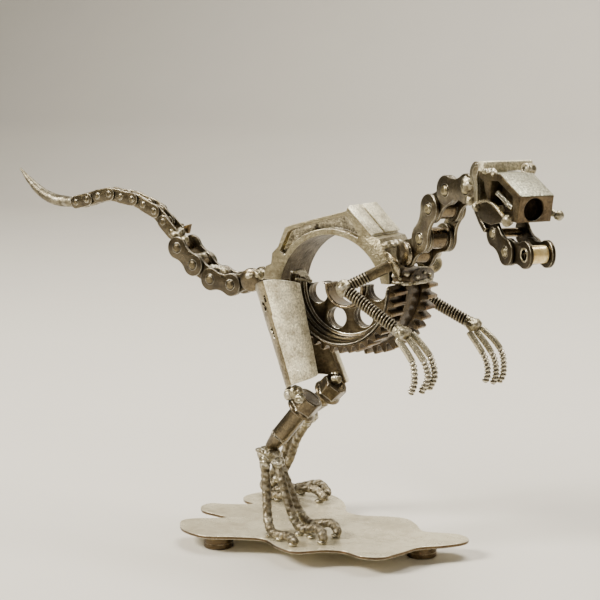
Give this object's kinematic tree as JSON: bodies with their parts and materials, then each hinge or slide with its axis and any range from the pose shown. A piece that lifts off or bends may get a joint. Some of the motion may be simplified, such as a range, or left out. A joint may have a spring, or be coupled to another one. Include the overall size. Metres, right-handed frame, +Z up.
{
  "type": "scrap-metal dinosaur sculpture",
  "caption": "Walking dinosaur figure welded from roller chain, bolts, gears, a half wheel and a bearing cap, on a free-form cut steel plinth with round pads.",
  "frame": {"origin": "centre of the sculpture's footprint, on the table that its pads stand on", "axes": "+X the way the animal walks, towards its head; +Y its left side; +Z up"},
  "size_m": [0.3406, 0.1036, 0.1918],
  "materials": {
    "brushed_sheet": "brushed sheet steel under clear lacquer",
    "ground_steel": "pale ground steel, pitted and mottled olive",
    "chain_steel": "dark brown-grey chain steel, bright on its edges",
    "dark_wheel": "dark polished casting with bright edges",
    "rusty_gear": "rusty brown, worn bright on the corners",
    "weld_bead": "bright granular weld metal under lacquer",
    "bolt_steel": "brown-toned bolt steel",
    "bright_rod": "bright drawn rod",
    "heat_tinted": "straw-coloured heat tint on a turned roller"
  },
  "bodies": {
    "root": {"base_plate": "brushed_sheet", "foot_pad_rear_right": "bolt_steel", "foot_pad_front": "bolt_steel", "foot_pad_rear_left": "bolt_steel", "right_shin_bolt": "bolt_steel", "left_shin_bolt": "bolt_steel", "tail_root_stud": "bolt_steel", "neck_root_stud": "bolt_steel", "tail_nut": "bolt_steel", "right_shoulder_bolt": "bolt_steel", "left_shoulder_bolt": "bolt_steel", "right_forearm": "bolt_steel", "left_forearm": "bolt_steel", "right_outer_toe_bar": "weld_bead", "right_middle_toe_bar": "weld_bead", "right_inner_toe_bar": "weld_bead", "left_outer_toe_bar": "weld_bead", "left_middle_toe_bar": "weld_bead", "left_inner_toe_bar": "weld_bead", "right_ankle_weld": "weld_bead", "left_ankle_weld": "weld_bead", "tail_root_weld": "weld_bead", "eye_nut": "weld_bead", "right_thigh": "ground_steel", "left_thigh": "ground_steel", "back_arch": "ground_steel", "tail_tip": "ground_steel", "skull_plate": "ground_steel", "brow_bar": "ground_steel", "snout_block": "ground_steel", "right_rib_gear": "rusty_gear", "left_rib_gear": "rusty_gear", "chest_drum": "rusty_gear", "chest_collar": "rusty_gear", "tail_spur": "rusty_gear", "belly_wheel": "dark_wheel", "tail_large_link_1": "chain_steel", "tail_large_link_2": "chain_steel", "tail_large_link_3": "chain_steel", "tail_large_link_4": "chain_steel", "tail_small_link_1": "chain_steel", "tail_small_link_2": "chain_steel", "tail_small_link_3": "chain_steel", "tail_small_link_4": "chain_steel", "tail_small_link_5": "chain_steel", "neck_link_1": "chain_steel", "neck_link_2": "chain_steel", "neck_link_3": "chain_steel", "neck_link_4": "chain_steel", "cheek_plate": "chain_steel", "jaw_outer_link": "chain_steel", "jaw_inner_link": "chain_steel", "right_outer_finger": "bright_rod", "right_middle_finger": "bright_rod", "right_inner_finger": "bright_rod", "left_inner_finger": "bright_rod", "left_middle_finger": "bright_rod", "left_outer_finger": "bright_rod", "snout_pin": "bright_rod", "jaw_roller": "heat_tinted"}
  },
  "joints": []
}
